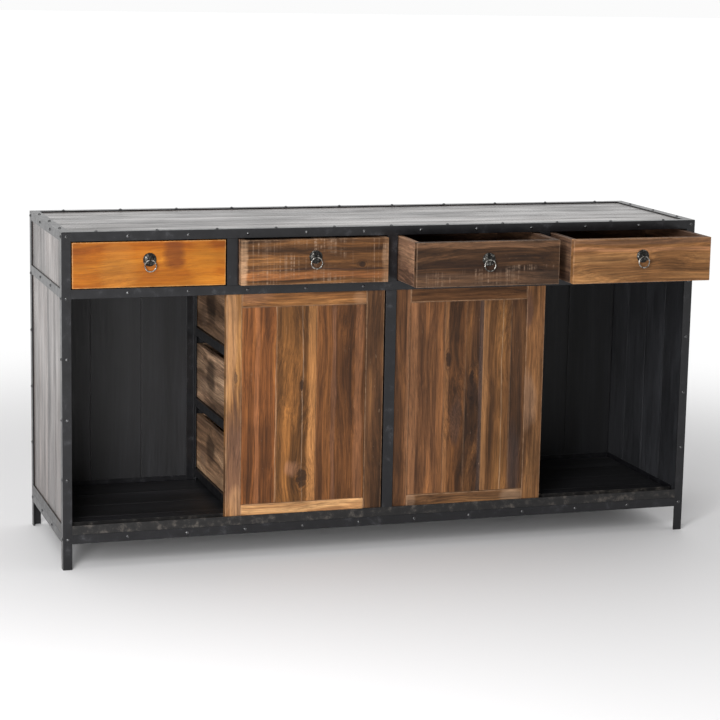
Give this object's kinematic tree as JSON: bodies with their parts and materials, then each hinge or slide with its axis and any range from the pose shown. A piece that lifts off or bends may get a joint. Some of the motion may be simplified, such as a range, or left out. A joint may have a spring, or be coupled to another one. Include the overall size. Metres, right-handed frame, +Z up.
{
  "type": "sideboard",
  "caption": "Industrial sideboard: riveted angle-iron frame with wooden boards, a row of drawers, two sliding doors over an inner drawer stack, and open compartments.",
  "frame": {"origin": "on the floor at the middle of the frame's footprint", "axes": "+X to the right along the front, +Y to the back, +Z up; the front faces -Y"},
  "size_m": [1.806, 0.6782, 0.903],
  "materials": {
    "black_iron": "satin black, lightly worn on the edges",
    "rivet_steel": "satin black rubbed bright on the crowns",
    "stained_boards": "dark stain under a satin varnish",
    "black_boards": "black stain, matt",
    "door_wood": "reclaimed hardwood, waxed",
    "drawer_wood": "reclaimed hardwood with saw marks, waxed",
    "box_wood": "rough reclaimed hardwood",
    "pull_metal": "aged pewter grey, rubbed bright on the high spots"
  },
  "bodies": {
    "carcass": {"post_front_left": "black_iron", "post_front_right": "black_iron", "post_back_left": "black_iron", "post_back_right": "black_iron", "top_frame": "black_iron", "mid_frame": "black_iron", "bottom_frame": "black_iron", "lip_frame": "black_iron", "drawer_tees": "black_iron", "door_tee": "black_iron", "door_track": "black_iron", "door_guide": "black_iron", "drawer_runners": "black_iron", "inner_uprights": "black_iron", "inner_runners": "black_iron", "floor_trim": "black_iron", "frame_rivets": "rivet_steel", "top_boards": "stained_boards", "left_side_boards": "stained_boards", "right_side_boards": "stained_boards", "back_boards": "black_boards", "floor_boards": "black_boards"},
    "left_door": {"left_door_stiles": "door_wood", "left_door_rails": "door_wood", "left_door_planks": "door_wood"},
    "right_door": {"right_door_stiles": "door_wood", "right_door_rails": "door_wood", "right_door_planks": "door_wood"},
    "drawer_1": {"drawer_1_front": "drawer_wood", "drawer_1_box": "box_wood", "drawer_1_base": "box_wood", "drawer_1_rosette": "pull_metal"},
    "drawer_1_pull": {"drawer_1_ring": "pull_metal"},
    "drawer_2": {"drawer_2_front": "drawer_wood", "drawer_2_box": "box_wood", "drawer_2_base": "box_wood", "drawer_2_rosette": "pull_metal"},
    "drawer_2_pull": {"drawer_2_ring": "pull_metal"},
    "drawer_3": {"drawer_3_front": "drawer_wood", "drawer_3_box": "box_wood", "drawer_3_base": "box_wood", "drawer_3_rosette": "pull_metal"},
    "drawer_3_pull": {"drawer_3_ring": "pull_metal"},
    "drawer_4": {"drawer_4_front": "drawer_wood", "drawer_4_box": "box_wood", "drawer_4_base": "box_wood", "drawer_4_rosette": "pull_metal"},
    "drawer_4_pull": {"drawer_4_ring": "pull_metal"},
    "inner_drawer_1": {"inner_drawer_1_front": "drawer_wood", "inner_drawer_1_box": "box_wood", "inner_drawer_1_rosette": "pull_metal"},
    "inner_drawer_1_pull": {"inner_drawer_1_ring": "pull_metal"},
    "inner_drawer_2": {"inner_drawer_2_front": "drawer_wood", "inner_drawer_2_box": "box_wood", "inner_drawer_2_rosette": "pull_metal"},
    "inner_drawer_2_pull": {"inner_drawer_2_ring": "pull_metal"},
    "inner_drawer_3": {"inner_drawer_3_front": "drawer_wood", "inner_drawer_3_box": "box_wood", "inner_drawer_3_rosette": "pull_metal"},
    "inner_drawer_3_pull": {"inner_drawer_3_ring": "pull_metal"}
  },
  "joints": [
    {"name": "left_door_slide", "type": "slide", "parent": "carcass", "child": "left_door", "axis": [1, 0, 0], "range_m": [-0.412, 0]},
    {"name": "right_door_slide", "type": "slide", "parent": "carcass", "child": "right_door", "axis": [1, 0, 0], "range_m": [0, 0.412]},
    {"name": "drawer_1_slide", "type": "slide", "parent": "carcass", "child": "drawer_1", "axis": [0, -1, 0], "range_m": [0, 0.33]},
    {"name": "drawer_1_ring_swing", "type": "hinge", "parent": "drawer_1", "child": "drawer_1_pull", "pos_m": [-0.6675, -0.26, 0.82375], "axis": [-1, 0, 0], "range_deg": [0, 110]},
    {"name": "drawer_2_slide", "type": "slide", "parent": "carcass", "child": "drawer_2", "axis": [0, -1, 0], "range_m": [-0.025, 0.305]},
    {"name": "drawer_2_ring_swing", "type": "hinge", "parent": "drawer_2", "child": "drawer_2_pull", "pos_m": [-0.2225, -0.285, 0.82375], "axis": [-1, 0, 0], "range_deg": [0, 110]},
    {"name": "drawer_3_slide", "type": "slide", "parent": "carcass", "child": "drawer_3", "axis": [0, -1, 0], "range_m": [-0.15, 0.18]},
    {"name": "drawer_3_ring_swing", "type": "hinge", "parent": "drawer_3", "child": "drawer_3_pull", "pos_m": [0.2225, -0.41, 0.82375], "axis": [-1, 0, 0], "range_deg": [0, 110]},
    {"name": "drawer_4_slide", "type": "slide", "parent": "carcass", "child": "drawer_4", "axis": [0, -1, 0], "range_m": [-0.16, 0.17]},
    {"name": "drawer_4_ring_swing", "type": "hinge", "parent": "drawer_4", "child": "drawer_4_pull", "pos_m": [0.6675, -0.42, 0.82375], "axis": [-1, 0, 0], "range_deg": [0, 110]},
    {"name": "inner_drawer_1_slide", "type": "slide", "parent": "carcass", "child": "inner_drawer_1", "axis": [0, -1, 0], "range_m": [0, 0.03]},
    {"name": "inner_drawer_1_ring_swing", "type": "hinge", "parent": "inner_drawer_1", "child": "inner_drawer_1_pull", "pos_m": [-0.2225, -0.151, 0.2405], "axis": [-1, 0, 0], "range_deg": [0, 90]},
    {"name": "inner_drawer_2_slide", "type": "slide", "parent": "carcass", "child": "inner_drawer_2", "axis": [0, -1, 0], "range_m": [0, 0.03]},
    {"name": "inner_drawer_2_ring_swing", "type": "hinge", "parent": "inner_drawer_2", "child": "inner_drawer_2_pull", "pos_m": [-0.2225, -0.151, 0.4475], "axis": [-1, 0, 0], "range_deg": [0, 90]},
    {"name": "inner_drawer_3_slide", "type": "slide", "parent": "carcass", "child": "inner_drawer_3", "axis": [0, -1, 0], "range_m": [0, 0.03]},
    {"name": "inner_drawer_3_ring_swing", "type": "hinge", "parent": "inner_drawer_3", "child": "inner_drawer_3_pull", "pos_m": [-0.2225, -0.151, 0.6545], "axis": [-1, 0, 0], "range_deg": [0, 90]}
  ]
}
